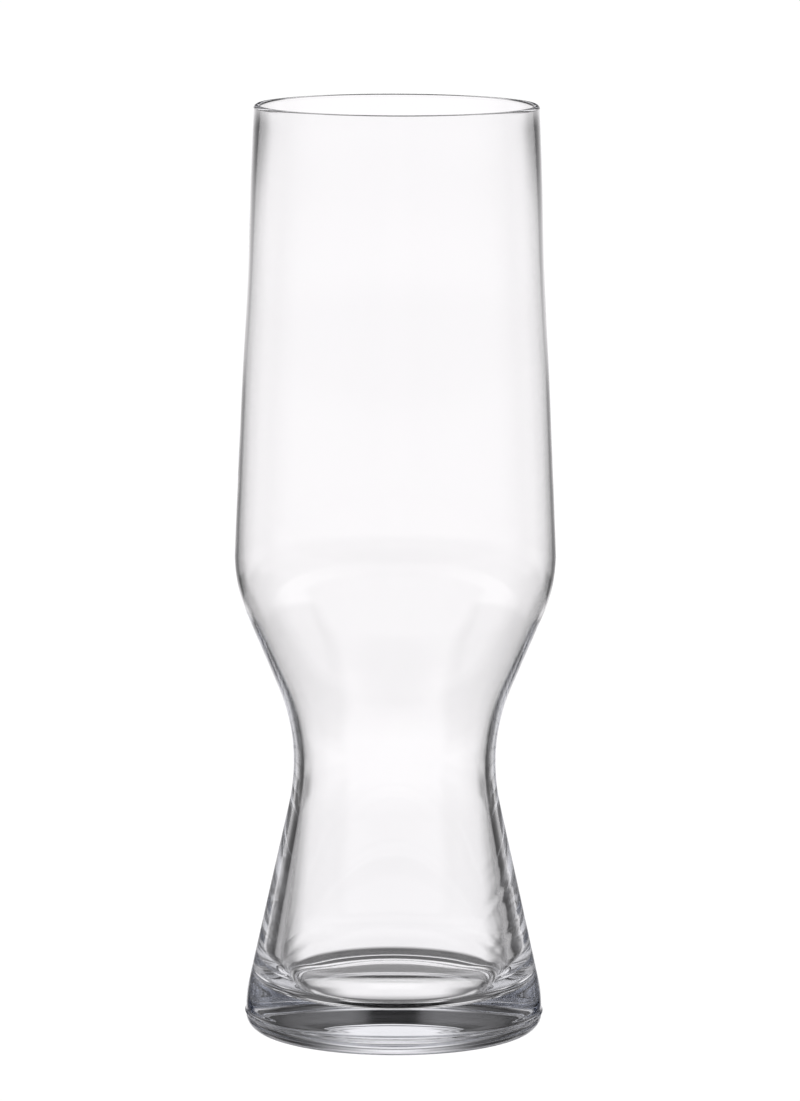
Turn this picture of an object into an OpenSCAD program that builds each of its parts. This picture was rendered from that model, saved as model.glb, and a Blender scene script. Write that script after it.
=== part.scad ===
// Weizen glass: a tall clear beer glass with a leaning bowl, a rounded shoulder, a narrow waist
// and a flared skirt on a thick foot. It is turned about Z and stands on z = 0.
// One continuous wall of glass is drawn as named sections that meet on level faces.

/* [Overall] */
// Height from the table to the top of the lip
total_h = 230; // [205:1:260]

/* [Bowl] */
// Outer diameter at the lip
rim_d = 70.1; // [60:0.1:76]
// Largest outer diameter, at the belly
belly_d = 79.4; // [72:0.1:90]
// Height of the belly above the table
belly_h = 119; // [108:1:138]
// How far the bowl's wall dips in from a straight line between belly and lip
bowl_dip = 0.35; // [0:0.05:1.5]
// Height at which that dip is deepest
dip_h = 187; // [160:1:195]
// Height of the zone that dips
dip_w = 59; // [20:1:60]
// Radius of the arc that turns the belly into the shoulder
belly_arc = 37; // [20:1:50]

/* [Waist] */
// Outer diameter at the narrowest place
waist_d = 50.1; // [42:0.1:60]
// Height of the narrowest place
waist_h = 67; // [55:1:80]
// Radius of the hollow arc through the waist
waist_arc = 49; // [20:1:60]

/* [Foot] */
// Outer diameter of the foot beside its mould seam
foot_d = 73.6; // [64:0.1:84]
// Radius of the foot's lower edge
foot_edge = 3.55; // [1:0.05:6]
// Upright side between that edge and the mould seam that runs round the foot
edge_side = 0.3; // [0.1:0.1:2]
// Height of the seam's ridge
seam_w = 1; // [0.4:0.1:2]
// How far that ridge stands proud of the foot
seam_proud = 0.3; // [0.1:0.05:0.8]
// Radius of the arc from the foot's side into the skirt
heel_arc = 35; // [10:1:60]
// Width of the flat ring that the glass rests on
rest_w = 5.4; // [1:0.1:12]
// Depth of the hollow inside that ring, at its middle
punt_h = 2.65; // [0.5:0.05:4]

/* [Glass thickness] */
// Wall at the lip
lip_wall = 1.7; // [0.8:0.1:2.5]
// Wall at the belly
belly_wall = 0.9; // [0.7:0.1:3]
// Wall at the waist
waist_wall = 2.4; // [1.2:0.1:4]
// How much lower the narrowest place is inside than outside
neck_drop = 2; // [0:0.5:4]
// Wall beside the foot, where the lower chamber is widest
heel_wall = 6.3; // [3:0.1:9]
// Radius of the arc that turns the chamber's wall inwards below its widest place
chamber_arc = 19.5; // [10:0.5:30]
// How far that arc turns, in degrees, before the corner of the floor
chamber_lean = 13.5; // [5:0.5:25]
// Radius of the corner between the floor and the wall of the lower chamber
floor_corner = 4.5; // [3:0.1:8]
// Height of the inside floor above the table, at its edge
floor_h = 9.35; // [8:0.05:16]
// How far the inside floor rises from its edge to its middle
floor_crown = 0.3; // [0.1:0.1:1.5]

/* [Sections] */
// Height of the lip's section
rim_band = 12; // [6:1:25]
// Height of the waist's section, half above and half below the narrowest place
waist_band = 26; // [16:1:34]

/* [Hidden] */
$fn = 96;

// Largest turn between two points of an arc, in degrees
arc_step = 3;
// Points along the bowl's wall
bowl_points = 24;
// Points along the shallow caps of the floor and the underside
cap_points = 16;
// Power by which the bowl's wall thickens from the belly to the lip
lip_power = 3;
// Points nearer than this are one point
point_gap = 0.0001;

glass_tint = [0.93, 0.94, 0.95, 0.45];
foot_tint = [0.80, 0.84, 0.86, 0.55];

lip_r = lip_wall / 2;
bowl_top_h = total_h - lip_r;
rim_h = total_h - rim_band;
waist_top_h = waist_h + waist_band / 2;
waist_low_h = waist_h - waist_band / 2;
base_h = floor_h + floor_corner + (chamber_arc - floor_corner) * sin(chamber_lean);
seam_low_h = foot_edge + edge_side;
seam_top_h = seam_low_h + seam_w;

// Number of steps that an arc of this angle needs
function steps(angle) = max(2, ceil(abs(angle) / arc_step));

// Points of an arc round a centre, angles in degrees from the outward radius
function arc(centre, radius, from, to) =
    let (n = steps(to - from))
    [for (i = [0 : n])
        let (a = from + (to - from) * i / n)
        centre + radius * [cos(a), sin(a)]];

// Flank of the wall from a wide place to a narrow one: a bulging arc, a straight line and a hollow
// arc, upright at both ends. The arcs are limited by the room between the two places.
function flank(wide, wide_arc, neck, neck_arc) =
    let (
        drop = abs(wide.y - neck.y),
        taper = wide.x - neck.x,
        room = (drop * drop + taper * taper) / (2 * taper),
        share = min(1, room / (wide_arc + neck_arc)),
        bulge = wide_arc * share,
        hollow = neck_arc * share,
        across = bulge + hollow - taper,
        slope = atan2(drop, across) - acos(min(1, (bulge + hollow) / norm([across, drop]))),
        up = sign(neck.y - wide.y)
    )
    concat(
        arc([wide.x - bulge, wide.y], bulge, 0, up * slope),
        arc([neck.x + hollow, neck.y], hollow, 180 + up * slope, 180));

function reversed(points) = [for (i = [len(points) - 1 : -1 : 0]) points[i]];

// A list of points without the repeats where two stretches join
function distinct(points) =
    [for (i = [0 : len(points) - 1]) if (i == 0 || norm(points[i] - points[i - 1]) > point_gap) points[i]];

// Radius of a wall, listed upwards, at one height
function radius_at(wall, z) = lookup(z, [for (p = wall) [p.y, p.x]]);

// The stretch of a wall between two heights
function stretch(wall, low, high) =
    concat(
        [[radius_at(wall, low), low]],
        [for (p = wall) if (p.y > low && p.y < high) p],
        [[radius_at(wall, high), high]]);

// Share of the way from the belly up to the lip, at one height
function bowl_share(z) = (z - belly_h) / (bowl_top_h - belly_h);

// Outer radius of the bowl at one height: a straight taper with a slight dip
function bowl_radius(z) =
    let (off = min(1, abs(z - dip_h) / (dip_w / 2)))
    belly.x + (rim_d / 2 - belly.x) * bowl_share(z) - bowl_dip * (1 + cos(180 * off)) / 2;

// Thickness of the bowl's wall at one height
function bowl_wall(z) = belly_wall + (lip_wall - belly_wall) * pow(bowl_share(z), lip_power);

// Side of the bowl from the belly up to the lip: its outside at depth 0, its inside at depth 1
function bowl_side(depth) =
    [for (i = [1 : bowl_points])
        let (z = belly_h + (bowl_top_h - belly_h) * i / bowl_points)
        [bowl_radius(z) - depth * bowl_wall(z), z]];

// Shallow cap of a sphere, from its middle out to its edge, which lies at a height
function cap(edge_r, edge_h, rise) =
    let (ball = (edge_r * edge_r + rise * rise) / (2 * rise))
    [for (i = [0 : cap_points])
        let (r = edge_r * i / cap_points)
        [r, edge_h + rise - ball + sqrt(ball * ball - r * r)]];

// Outer wall, upwards from the top of the seam's ridge
foot_side = [foot_d / 2, seam_top_h];
belly = [belly_d / 2, belly_h];
neck = [waist_d / 2, waist_h];
outer_skirt = flank(foot_side, heel_arc, neck, waist_arc);
outer_shoulder = reversed(flank(belly, belly_arc, neck, waist_arc));
outer_wall = distinct(concat(outer_skirt, outer_shoulder, bowl_side(0)));

// Inner wall, upwards from the widest place of the lower chamber, with a lower neck than outside
chamber = [radius_at(outer_wall, base_h) - heel_wall, base_h];
inner_belly = belly - [belly_wall, 0];
inner_neck = neck - [waist_wall, neck_drop];
inner_waist_arc = waist_arc + waist_wall;
inner_skirt = flank(chamber, chamber_arc, inner_neck, inner_waist_arc);
inner_shoulder = reversed(flank(inner_belly, belly_arc - belly_wall, inner_neck, inner_waist_arc));
inner_wall = distinct(concat(inner_skirt, inner_shoulder, bowl_side(1)));

// Hollow under the foot, from the middle out to the resting ring
punt_r = foot_d / 2 - foot_edge - rest_w;
punt_line = cap(punt_r, 0, punt_h);

// The foot's lower edge and its seam, upwards from the resting ring
edge_centre = [foot_d / 2 - foot_edge, foot_edge];
seam_line = [
    [foot_d / 2, seam_low_h],
    [foot_d / 2 + seam_proud, seam_low_h + seam_w / 2]
];
edge_line = concat(arc(edge_centre, foot_edge, -90, 0), seam_line);

// Lower end of the chamber, downwards from its widest place round the corner to the floor's middle
chamber_centre = chamber - [chamber_arc, 0];
corner_centre = chamber_centre + (chamber_arc - floor_corner) * [cos(chamber_lean), -sin(chamber_lean)];
floor_line = concat(
    arc(chamber_centre, chamber_arc, 0, -chamber_lean),
    arc(corner_centre, floor_corner, -chamber_lean, -90),
    reversed(cap(corner_centre.x, floor_h, floor_crown)));

// The rounded top of the lip, from its outside to its inside
lip_line = arc([rim_d / 2 - lip_r, bowl_top_h], lip_r, 0, 180);

module turned(points) {
    rotate_extrude() polygon(distinct(points));
}

// A ring of the wall between two level faces
module wall_ring(low, high) {
    turned(concat(stretch(outer_wall, low, high), reversed(stretch(inner_wall, low, high))));
}

module rim() {
    color(glass_tint)
        turned(concat(
            stretch(outer_wall, rim_h, bowl_top_h),
            lip_line,
            reversed(stretch(inner_wall, rim_h, bowl_top_h))));
}

module bowl() {
    color(glass_tint) wall_ring(belly_h, rim_h);
}

module shoulder() {
    color(glass_tint) wall_ring(waist_top_h, belly_h);
}

module waist() {
    color(glass_tint) wall_ring(waist_low_h, waist_top_h);
}

module skirt() {
    color(glass_tint) wall_ring(base_h, waist_low_h);
}

module base() {
    color(foot_tint)
        turned(concat(
            punt_line,
            edge_line,
            stretch(outer_wall, seam_top_h, base_h),
            floor_line));
}

rim();
bowl();
shoulder();
waist();
skirt();
base();
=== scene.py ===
# Weizen glass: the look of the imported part, in metres and in the CAD frame.
# One continuous wall of clear glass, drawn over the CAD outline, stands for the six named sections.
import math

import bmesh
import bpy
import numpy as np
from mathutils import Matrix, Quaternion, Vector


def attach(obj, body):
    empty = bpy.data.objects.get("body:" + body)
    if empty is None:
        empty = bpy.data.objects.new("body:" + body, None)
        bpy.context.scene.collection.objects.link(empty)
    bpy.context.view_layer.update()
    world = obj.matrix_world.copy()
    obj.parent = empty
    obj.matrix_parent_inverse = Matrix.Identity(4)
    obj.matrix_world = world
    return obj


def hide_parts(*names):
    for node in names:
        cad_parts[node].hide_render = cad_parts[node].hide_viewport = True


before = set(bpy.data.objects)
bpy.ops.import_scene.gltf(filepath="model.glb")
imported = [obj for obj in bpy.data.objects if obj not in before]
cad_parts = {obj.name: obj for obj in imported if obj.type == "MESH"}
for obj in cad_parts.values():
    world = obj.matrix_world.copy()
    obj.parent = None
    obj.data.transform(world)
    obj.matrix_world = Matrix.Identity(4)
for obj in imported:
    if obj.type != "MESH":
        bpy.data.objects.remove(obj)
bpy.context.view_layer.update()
scene = bpy.context.scene

MM = 0.001

# Outline: points within the gap are one point, and the steps along the curve are finer in the foot
POINT_GAP = 0.002 * MM
STRAIGHT_TURN = math.radians(0.02)
LONGEST_STEP = 5 * MM
LARGEST_TURN = math.radians(3.5)
FOOT_TURN = math.radians(1.6)
FOOT_HIGH = 16 * MM
AROUND = 216

# Ripples that the mould left inside the thick lower wall. Each has a count round the glass, a size in
# millimetres and a shift. They show on two sides, each with its angle and its weight.
RIPPLE_LOW, RIPPLE_FULL_LOW, RIPPLE_FULL_HIGH, RIPPLE_HIGH = (h * MM for h in (15, 24, 37, 48))
RIPPLE_TWIST = 0.085 / MM
RIPPLE_STEP = 0.8 * MM
RIPPLE_SIDES = [(math.radians(-25), 1), (math.radians(-155), 0.5)]
RIPPLE_REACH = math.radians(24)
RIPPLES = [(13, 0.014, 0.4), (19, 0.014, 2.1), (27, 0.009, 4.0)]

# Glass
GLASS_IOR = 1.5
DEPTH_COLOUR = (0.62, 0.65, 0.72, 1)
DEPTH_DENSITY = 6
SCRATCH_SCALE = 900
SCRATCH_DETAIL = 6
WORN_HIGH = 0.35 * MM
WORN_ROUGHNESS = 0.08
WAVE_SCALE = 55
WAVE_DETAIL = 1
WAVE_STRENGTH = 0.05
WAVE_HIGH = 0.4 * MM
BOUNCES = 128

# Camera
IMAGE_H = 1101
FOCAL_PIXELS = 6552
SENSOR = 36
EYE = Vector((0.00115, -1.6, 0.3546))
AIM = Vector((0.00115, 0, 0.1198))
ROLL = math.radians(0.19)
FARTHEST = 20

# Studio
DOME_R = 3.5
DOME_AROUND = 96
DOME_RINGS = 48
DOME_TINT = (1, 0.985, 1, 1)
FLOOR_R = 3.4
FLOOR_AROUND = 96
FLOOR_DROP = 0.2 * MM
FLOOR_TINT = (1, 1, 1, 1)
FLOOR_GLOW = 1.05
HALF_CIRCLE = 180

# The studio as it looks from the glass, from the table up to the ceiling, the same on both sides. Each
# part has the heights in degrees where it starts, is full, is still full and ends, and its brightness
# by degrees to the left or right of the photograph's view.
STUDIO = [
    ((-64, -54, -37, -31.5), [
        (0, 0.11), (12, 0.11), (20, 0.5), (27, 0.9), (38, 0.9), (46, 0.15), (110, 0.12), (122, 0.9),
        (180, 0.9)]),
    ((-37, -31.5, -29.5, -25), [
        (0, 1.02), (8, 1.02), (10, 0.81), (13, 0.42), (15, 0.23), (20, 0.16), (40, 0.15), (62, 0.04),
        (90, 0.1), (110, 0.1), (122, 0.9), (180, 0.9)]),
    ((-29.5, -25, -19, -17.5), [
        (0, 1.04), (12, 1.04), (14, 0.95), (17, 0.62), (20, 0.3), (23, 0.1), (28, 0.03), (45, 0.03),
        (54, 0.4), (66, 0.42), (95, 0.9), (180, 0.9)]),
    ((-19, -17.5, -15, -14), [
        (0, 1.02), (12.5, 1.01), (16, 0.87), (20, 0.64), (24, 0.38), (27, 0.19), (30, 0.06), (33, 0.02),
        (41, 0.02), (45, 0.33), (50, 0.45), (60, 0.5), (72, 0.4), (95, 0.9), (180, 0.9)]),
    ((-15, -14, -12, -10.5), [
        (0, 1.02), (12, 0.99), (13.5, 0.81), (16, 0.47), (18.5, 0.23), (22, 0.07), (26, 0.02), (41, 0.02),
        (44, 0.33), (50, 0.45), (60, 0.5), (72, 0.4), (95, 0.9), (180, 0.9)]),
    ((-12, -10.5, -8.5, -5), [
        (0, 1.02), (7.5, 1.02), (9, 0.85), (11.5, 0.42), (13.5, 0.26), (23, 0.16), (34, 0.3), (43, 0.3),
        (51, 0.52), (60, 0.67), (72, 0.55), (95, 0.9), (180, 0.9)]),
    ((-8.5, -5, -4.9, -4.2), [
        (0, 1.02), (8.5, 1.02), (10, 0.93), (12, 0.66), (16, 0.36), (24, 0.25), (34, 0.55), (51, 0.7),
        (60, 0.75), (72, 0.5), (95, 0.75), (180, 0.75)]),
    ((-4.9, -4.2, -2.5, 0.5), [
        (0, 1.04), (10, 1.02), (13, 0.79), (21, 0.49), (25, 0.44), (30, 0.48), (34, 0.56), (51, 0.7),
        (60, 0.75), (72, 0.5), (95, 0.55), (180, 0.55)]),
    ((-2.5, 0.5, 3, 7.5), [
        (0, 1.15), (2, 1.15), (6, 0.95), (10, 0.59), (13, 0.48), (16, 0.36), (20, 0.2), (24, 0.07),
        (30, 0.02), (50, 0.03), (60, 0.48), (72, 0.35), (180, 0.3)]),
    ((3, 7.5, 11, 13), [
        (0, 0.01), (4, 0.01), (5, 0.02), (7, 0.11), (10, 0.16), (15, 0.15), (23, 0.1), (37, 0),
        (55, 0.04), (62, 0.12), (72, 0.08), (110, 0.18), (135, 0.2), (150, 0.12), (180, 0.04)]),
    ((11, 13, 15, 17.5), [
        (0, 0.01), (5, 0.01), (7, 0.05), (10, 0.08), (15, 0.05), (23, 0.03), (37, 0), (55, 0.04),
        (62, 0.1), (90, 0.1), (135, 0.2), (150, 0.12), (180, 0.04)]),
    ((15, 17.5, 23, 26), [
        (0, 1.2), (7, 1.1), (12, 0.32), (18, 0.05), (40, 0.03), (51, 0.3), (60, 0.65), (80, 0.8),
        (100, 0.75), (112, 0.54), (130, 0.48), (145, 0.3), (180, 0.15)]),
    ((23, 26, 30, 34), [
        (0, 1.1), (7, 1.1), (12, 0.32), (18, 0.08), (37, 0.08), (51, 0.41), (60, 0.7), (80, 0.78),
        (95, 0.6), (102, 0.05), (180, 0.1)]),
    ((30, 34, 42, 46), [
        (0, 0.05), (6, 0.05), (10, 0.32), (15, 0.5), (31, 0.2), (55, 0.76), (72, 0.85), (92, 0.75),
        (98, 0.05), (180, 0.1)]),
    ((42, 46, 60, 66), [
        (0, 0), (3, 0), (6, 0.05), (10, 0.32), (15, 0.5), (31, 0.2), (55, 0.77), (90, 0.95), (110, 0.9),
        (150, 0.3), (180, 0.1)]),
    ((60, 66, 90, 91), [(0, 1), (180, 1)]),
]


# The outline of the wall, read from the CAD nodes

def seam_loops(nodes):
    """Points and edges of all nodes in the half plane y = 0, without the cuts that two nodes share."""
    points = []
    edges = {}

    def index_of(point):
        for i, known in enumerate(points):
            if (known - point).length < POINT_GAP:
                return i
        points.append(point)
        return len(points) - 1

    for node in nodes:
        verts = node.data.vertices
        known = {}
        for v in verts:
            if abs(v.co.y) < POINT_GAP / 2 and v.co.x > -POINT_GAP / 2:
                known[v.index] = index_of(Vector((max(0, v.co.x), v.co.z)))
        found = set()
        for e in node.data.edges:
            a, b = e.vertices
            if a in known and b in known and known[a] != known[b]:
                found.add(tuple(sorted((known[a], known[b]))))
        for pair in found:
            edges[pair] = edges.get(pair, 0) + 1
    return points, [pair for pair, times in edges.items() if times == 1]


def walk(points, edges):
    """The points in order, from the middle of the underside round the wall to the middle of the floor."""
    beside = {}
    for a, b in edges:
        beside.setdefault(a, []).append(b)
        beside.setdefault(b, []).append(a)
    ends = sorted((i for i in beside if points[i].x < POINT_GAP), key=lambda i: points[i].y)
    path = [ends[0]]
    last = None
    while path[-1] != ends[-1]:
        step = [i for i in beside[path[-1]] if i != last and i not in path[-2:]]
        last = path[-1]
        path.append(step[0])
    return [points[i] for i in path]


def without_straights(line):
    """The line without points that lie on a straight between their neighbours."""
    kept = [line[0]]
    for here, after in zip(line[1:], line[2:]):
        if (here - kept[-1]).angle(after - here) > STRAIGHT_TURN:
            kept.append(here)
    return kept + [line[-1]]


def highest(line):
    """Index of the line's highest point, which is on the lip."""
    return max(range(len(line)), key=lambda i: line[i].y)


def smoothed(line):
    """A smooth curve through the line's points, with short steps where it bends."""
    last = len(line) - 1
    along = [(line[min(i + 1, last)] - line[max(i - 1, 0)]).normalized() for i in range(last + 1)]
    along[0] = Vector((1, 0))
    along[last] = Vector((-1, 0))
    lip = highest(line)
    curve = [line[0]]
    for i in range(last):
        a, b = line[i], line[i + 1]
        reach = (b - a).length
        turn = along[i].angle(along[i + 1])
        middle = (a.y + b.y) / 2
        rippled = i > lip and RIPPLE_LOW < middle < RIPPLE_HIGH
        step = RIPPLE_STEP if rippled else LONGEST_STEP
        bend = FOOT_TURN if middle < FOOT_HIGH else LARGEST_TURN
        count = max(1, math.ceil(max(reach / step, turn / bend)))
        for k in range(1, count + 1):
            t = k / count
            stay = (1 + 2 * t) * (1 - t) ** 2
            leave = t * (1 - t) ** 2 * reach
            arrive = t * t * (t - 1) * reach
            point = stay * a + (1 - stay) * b + leave * along[i] + arrive * along[i + 1]
            curve.append(Vector((max(0, point.x), max(0, point.y))))
    return curve


# The glass

def fade(value, start, end):
    """Smooth step from 0 at start to 1 at end."""
    t = np.clip((value - start) / (end - start), 0, 1)
    return t * t * (3 - 2 * t)


def ripple(height, angle):
    """How far the inside of the lower wall stands in or out, on slanting streaks."""
    strength = fade(height, RIPPLE_LOW, RIPPLE_FULL_LOW) * (1 - fade(height, RIPPLE_FULL_HIGH, RIPPLE_HIGH))
    turn = angle - RIPPLE_TWIST * height
    streaks = sum(size * np.sin(count * turn + shift) for count, size, shift in RIPPLES)
    side = 0
    for middle, weight in RIPPLE_SIDES:
        off = (angle - middle + np.pi) % (2 * np.pi) - np.pi
        side = side + weight * (1 - fade(np.abs(off), 0, RIPPLE_REACH))
    return strength * side * streaks * MM


def revolved(curve):
    """Vertices and faces of the curve turned about the Z axis, with the inner wall rippled."""
    angles = np.linspace(0, 2 * np.pi, AROUND, endpoint=False)
    lip = highest(curve)
    verts = []
    for i, point in enumerate(curve[1:-1], 1):
        radius = np.full(AROUND, point.x)
        if i > lip:
            radius = radius + ripple(point.y, angles)
        height = np.full(AROUND, point.y)
        verts.append(np.stack([radius * np.cos(angles), radius * np.sin(angles), height], -1))
    rings = len(verts)
    faces = []
    for k in range(rings - 1):
        for j in range(AROUND):
            a = k * AROUND + j
            b = k * AROUND + (j + 1) % AROUND
            faces.append((a, b, b + AROUND, a + AROUND))
    under = rings * AROUND
    floor = under + 1
    top_ring = (rings - 1) * AROUND
    for j in range(AROUND):
        after = (j + 1) % AROUND
        faces.append((under, after, j))
        faces.append((floor, top_ring + j, top_ring + after))
    poles = [[0, 0, curve[0].y], [0, 0, curve[-1].y]]
    return np.concatenate(verts + [poles]), faces


def glass_material():
    """Clear glass: faintly blue-green in depth, with slight waves and wear on the resting ring."""
    mat = bpy.data.materials.new("clear_glass")
    mat.use_nodes = True
    tree = mat.node_tree
    tree.nodes.clear()
    new, link = tree.nodes.new, tree.links.new
    out = new("ShaderNodeOutputMaterial")
    shader = new("ShaderNodeBsdfPrincipled")
    shader.inputs["Base Color"].default_value = (1, 1, 1, 1)
    shader.inputs["Transmission Weight"].default_value = 1
    shader.inputs["IOR"].default_value = GLASS_IOR
    link(shader.outputs["BSDF"], out.inputs["Surface"])

    depth = new("ShaderNodeVolumeAbsorption")
    depth.inputs["Color"].default_value = DEPTH_COLOUR
    depth.inputs["Density"].default_value = DEPTH_DENSITY
    link(depth.outputs["Volume"], out.inputs["Volume"])

    place = new("ShaderNodeTexCoord")
    split = new("ShaderNodeSeparateXYZ")
    link(place.outputs["Object"], split.inputs[0])

    # Rubbed ring under the foot, with fine scratches
    scratch = new("ShaderNodeTexNoise")
    scratch.inputs["Scale"].default_value = SCRATCH_SCALE
    scratch.inputs["Detail"].default_value = SCRATCH_DETAIL
    link(place.outputs["Object"], scratch.inputs["Vector"])
    worn = new("ShaderNodeMapRange")
    worn.inputs["From Min"].default_value = WORN_HIGH
    worn.inputs["From Max"].default_value = 0.0
    link(split.outputs["Z"], worn.inputs["Value"])
    rub = new("ShaderNodeMath")
    rub.operation = "MULTIPLY"
    link(worn.outputs["Result"], rub.inputs[0])
    link(scratch.outputs["Fac"], rub.inputs[1])
    rough = new("ShaderNodeMapRange")
    rough.inputs["To Min"].default_value = 0.0
    rough.inputs["To Max"].default_value = WORN_ROUGHNESS
    link(rub.outputs["Value"], rough.inputs["Value"])
    link(rough.outputs["Result"], shader.inputs["Roughness"])

    # Slow waves of the drawn wall
    wave = new("ShaderNodeTexNoise")
    wave.inputs["Scale"].default_value = WAVE_SCALE
    wave.inputs["Detail"].default_value = WAVE_DETAIL
    link(place.outputs["Object"], wave.inputs["Vector"])
    bump = new("ShaderNodeBump")
    bump.inputs["Strength"].default_value = WAVE_STRENGTH
    bump.inputs["Distance"].default_value = WAVE_HIGH
    link(wave.outputs["Fac"], bump.inputs["Height"])
    link(bump.outputs["Normal"], shader.inputs["Normal"])
    return mat


def make_glass(nodes):
    """The whole glass as one closed mesh."""
    points, edges = seam_loops(nodes)
    curve = smoothed(without_straights(walk(points, edges)))
    verts, faces = revolved(curve)
    mesh = bpy.data.meshes.new("glass")
    mesh.from_pydata(verts.tolist(), [], faces)
    mesh.shade_smooth()
    mesh.materials.append(glass_material())
    glass = bpy.data.objects.new("glass", mesh)
    scene.collection.objects.link(glass)
    return glass


# Camera and studio

def make_camera():
    """A long lens, a little above the rim, at the photograph's angle."""
    data = bpy.data.cameras.new("camera")
    data.sensor_fit = "AUTO"
    data.sensor_width = SENSOR
    data.lens = FOCAL_PIXELS / IMAGE_H * SENSOR
    data.clip_end = FARTHEST
    camera = bpy.data.objects.new("camera", data)
    camera.rotation_mode = "QUATERNION"
    camera.location = EYE
    camera.rotation_quaternion = (AIM - EYE).to_track_quat("-Z", "Y") @ Quaternion((0, 0, 1), ROLL)
    scene.collection.objects.link(camera)
    scene.camera = camera


class Light:
    """Small helper that writes sums and products of soft-edged windows as nodes."""

    def __init__(self, tree):
        self.tree = tree

    def maths(self, operation, *values):
        node = self.tree.nodes.new("ShaderNodeMath")
        node.operation = operation
        for socket, value in zip(node.inputs, values):
            if isinstance(value, bpy.types.NodeSocket):
                self.tree.links.new(value, socket)
            else:
                socket.default_value = value
        return node.outputs[0]

    def product(self, first, *others):
        for other in others:
            first = self.maths("MULTIPLY", first, other)
        return first

    def total(self, first, *others):
        for other in others:
            first = self.maths("ADD", first, other)
        return first

    def rise(self, angle, start, end):
        node = self.tree.nodes.new("ShaderNodeMapRange")
        node.interpolation_type = "SMOOTHSTEP"
        node.inputs["From Min"].default_value = start
        node.inputs["From Max"].default_value = end
        self.tree.links.new(angle, node.inputs["Value"])
        return node.outputs[0]

    def fall(self, angle, start, end):
        return self.maths("SUBTRACT", 1, self.rise(angle, start, end))

    def window(self, angle, start, full, still, end):
        return self.product(self.rise(angle, start, full), self.fall(angle, still, end))

    def ramp(self, angle, stops):
        """Straight lines between (degrees, level) stops, over half a circle."""
        share = self.tree.nodes.new("ShaderNodeMapRange")
        share.inputs["From Max"].default_value = HALF_CIRCLE
        self.tree.links.new(angle, share.inputs["Value"])
        node = self.tree.nodes.new("ShaderNodeValToRGB")
        marks = node.color_ramp.elements
        marks.remove(marks[-1])
        for i, (degrees, level) in enumerate(stops):
            spot = degrees / HALF_CIRCLE
            mark = marks.new(spot) if i else marks[0]
            mark.position = spot
            mark.color = (level, level, level, 1)
        self.tree.links.new(share.outputs[0], node.inputs[0])
        return node.outputs[0]


def glowing(name, tint):
    """A material that only gives light, and its emission node."""
    mat = bpy.data.materials.new(name)
    mat.use_nodes = True
    mat.cycles.emission_sampling = "NONE"
    tree = mat.node_tree
    tree.nodes.clear()
    out = tree.nodes.new("ShaderNodeOutputMaterial")
    glow = tree.nodes.new("ShaderNodeEmission")
    glow.inputs["Color"].default_value = tint
    tree.links.new(glow.outputs[0], out.inputs["Surface"])
    return mat, glow


def dome_material():
    """The studio as it looks from the glass: a white backdrop with dark sides, and soft lights."""
    mat, glow = glowing("studio_dome", DOME_TINT)
    tree = mat.node_tree
    place = tree.nodes.new("ShaderNodeTexCoord")
    unit = tree.nodes.new("ShaderNodeVectorMath")
    unit.operation = "NORMALIZE"
    split = tree.nodes.new("ShaderNodeSeparateXYZ")
    tree.links.new(place.outputs["Object"], unit.inputs[0])
    tree.links.new(unit.outputs[0], split.inputs[0])

    light = Light(tree)
    right, up, back = split.outputs
    bearing = light.maths("DEGREES", light.maths("ARCTAN2", right, light.product(back, -1)))
    aside = light.maths("ABSOLUTE", bearing)
    height = light.maths("DEGREES", light.maths("ARCSINE", up))

    parts = [light.product(light.ramp(aside, stops), light.window(height, *span)) for span, stops in STUDIO]
    level = light.total(*parts)
    tree.links.new(level, glow.inputs["Strength"])
    return mat


def stage_piece(name, shape, mat):
    """An object with the bmesh's shape and one material."""
    mesh = bpy.data.meshes.new(name)
    shape.to_mesh(mesh)
    shape.free()
    mesh.materials.append(mat)
    piece = bpy.data.objects.new(name, mesh)
    scene.collection.objects.link(piece)
    return piece


def make_studio():
    """The dome of light, which stands round the glass, and a pale floor that only the camera sees."""
    shape = bmesh.new()
    bmesh.ops.create_uvsphere(shape, u_segments=DOME_AROUND, v_segments=DOME_RINGS, radius=DOME_R)
    dome = stage_piece("studio_dome", shape, dome_material())
    dome.data.shade_smooth()
    dome.location = AIM
    # Its own Y axis points up, and its own -Z axis along the photograph's view
    dome.rotation_euler = (math.pi / 2, 0, 0)

    shape = bmesh.new()
    bmesh.ops.create_circle(shape, cap_ends=True, radius=FLOOR_R, segments=FLOOR_AROUND)
    mat, glow = glowing("pale_floor", FLOOR_TINT)
    glow.inputs["Strength"].default_value = FLOOR_GLOW
    floor = stage_piece("floor", shape, mat)
    floor.location.z = -FLOOR_DROP
    floor.visible_transmission = False
    floor.visible_glossy = False


sections = ["rim", "bowl", "shoulder", "waist", "skirt", "base"]
glass = make_glass([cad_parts[name] for name in sections])
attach(glass, "root")
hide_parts(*sections)
make_camera()
make_studio()

scene.view_settings.view_transform = "Standard"
scene.cycles.max_bounces = BOUNCES
scene.cycles.transmission_bounces = BOUNCES
scene.cycles.glossy_bounces = BOUNCES

bpy.context.view_layer.update()
